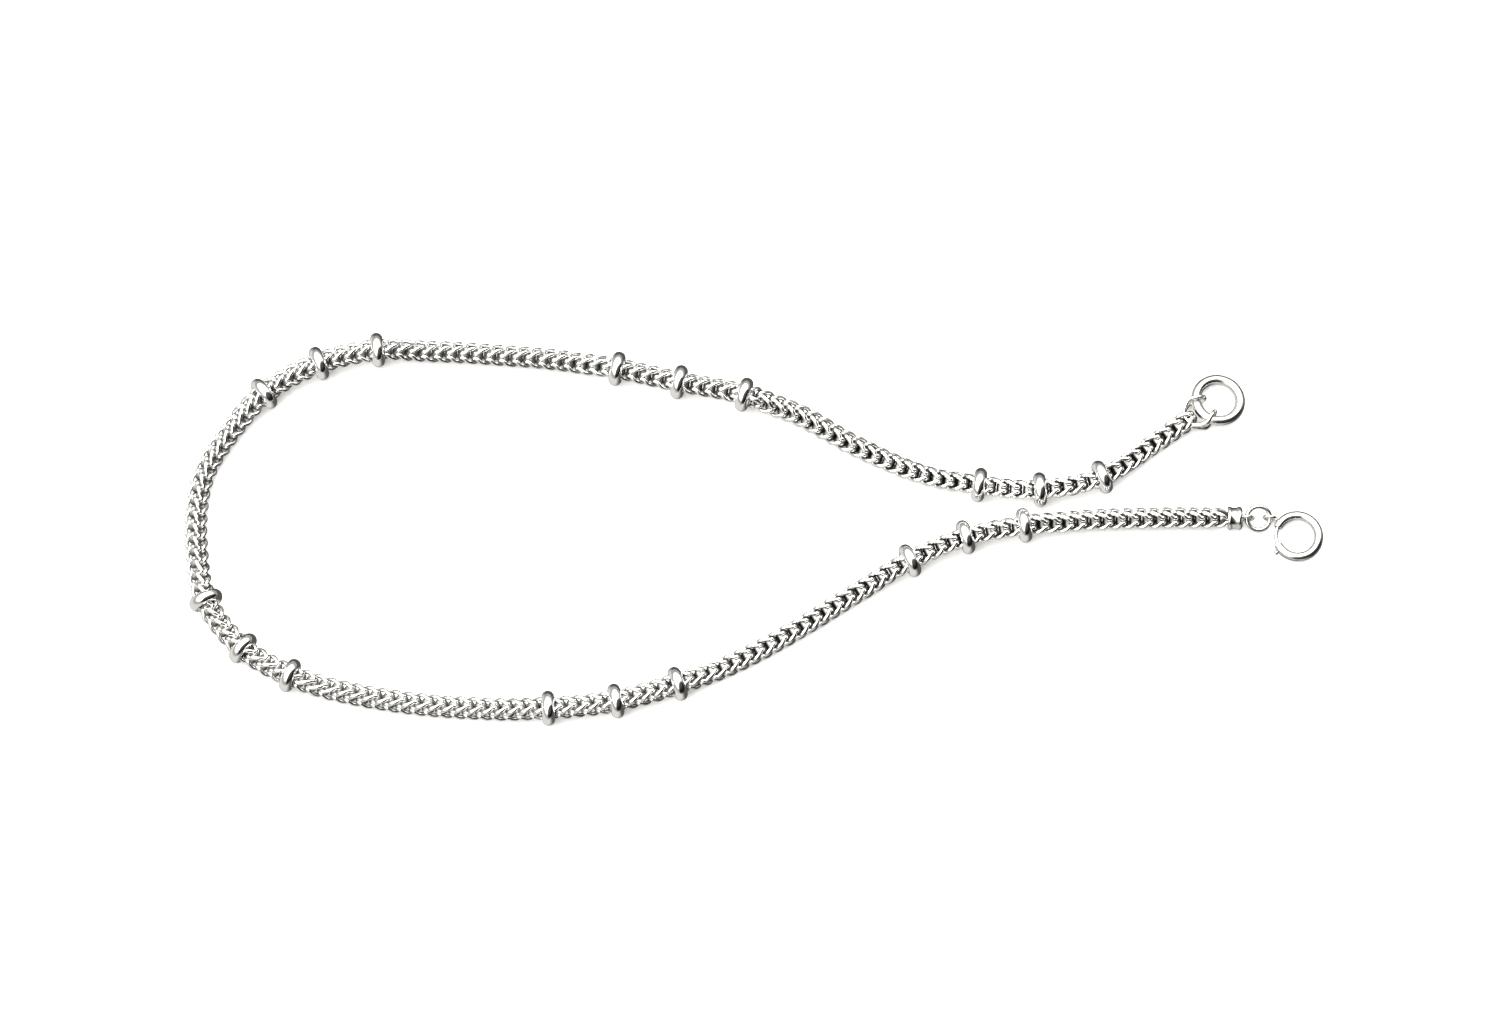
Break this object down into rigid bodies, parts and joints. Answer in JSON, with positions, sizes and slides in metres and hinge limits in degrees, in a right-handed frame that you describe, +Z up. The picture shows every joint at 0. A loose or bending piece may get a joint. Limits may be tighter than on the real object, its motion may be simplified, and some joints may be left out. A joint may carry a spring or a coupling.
{
  "type": "anklet",
  "caption": "Open woven chain anklet with ring beads in small groups, a plain end ring and a spring ring clasp, laid in a loop on a surface.",
  "frame": {"origin": "centre of the footprint of the laid anklet, on the surface it lies on", "axes": "+X along the laid loop towards the clasp and the end ring, +Y across it towards the strand with the end ring, +Z up off the surface"},
  "size_m": [0.1203, 0.0436, 0.0037],
  "materials": {
    "chain_silver": "polished silver wire, darker between the links",
    "bead_silver": "high polish",
    "fitting_silver": "polished, slightly greyed by wear"
  },
  "bodies": {
    "anklet": {"chain": "chain_silver", "end_link": "chain_silver", "end_ring": "fitting_silver", "end_cap": "fitting_silver", "jump_ring": "fitting_silver", "clasp_tube": "fitting_silver", "bead_01": "bead_silver", "bead_02": "bead_silver", "bead_03": "bead_silver", "bead_04": "bead_silver", "bead_05": "bead_silver", "bead_06": "bead_silver", "bead_07": "bead_silver", "bead_08": "bead_silver", "bead_09": "bead_silver", "bead_10": "bead_silver", "bead_11": "bead_silver", "bead_12": "bead_silver", "bead_13": "bead_silver", "bead_14": "bead_silver", "bead_15": "bead_silver", "bead_16": "bead_silver", "bead_17": "bead_silver", "bead_18": "bead_silver"},
    "bolt": {"clasp_bolt": "fitting_silver"}
  },
  "joints": [
    {"name": "clasp_open", "type": "hinge", "parent": "anklet", "child": "bolt", "pos_m": [0.05745, -0.0005, 0.00062], "axis": [0.052, -0.0351, 0.998], "range_deg": [0, 52.5], "stiffness_Nm_per_rad": 0.002}
  ]
}
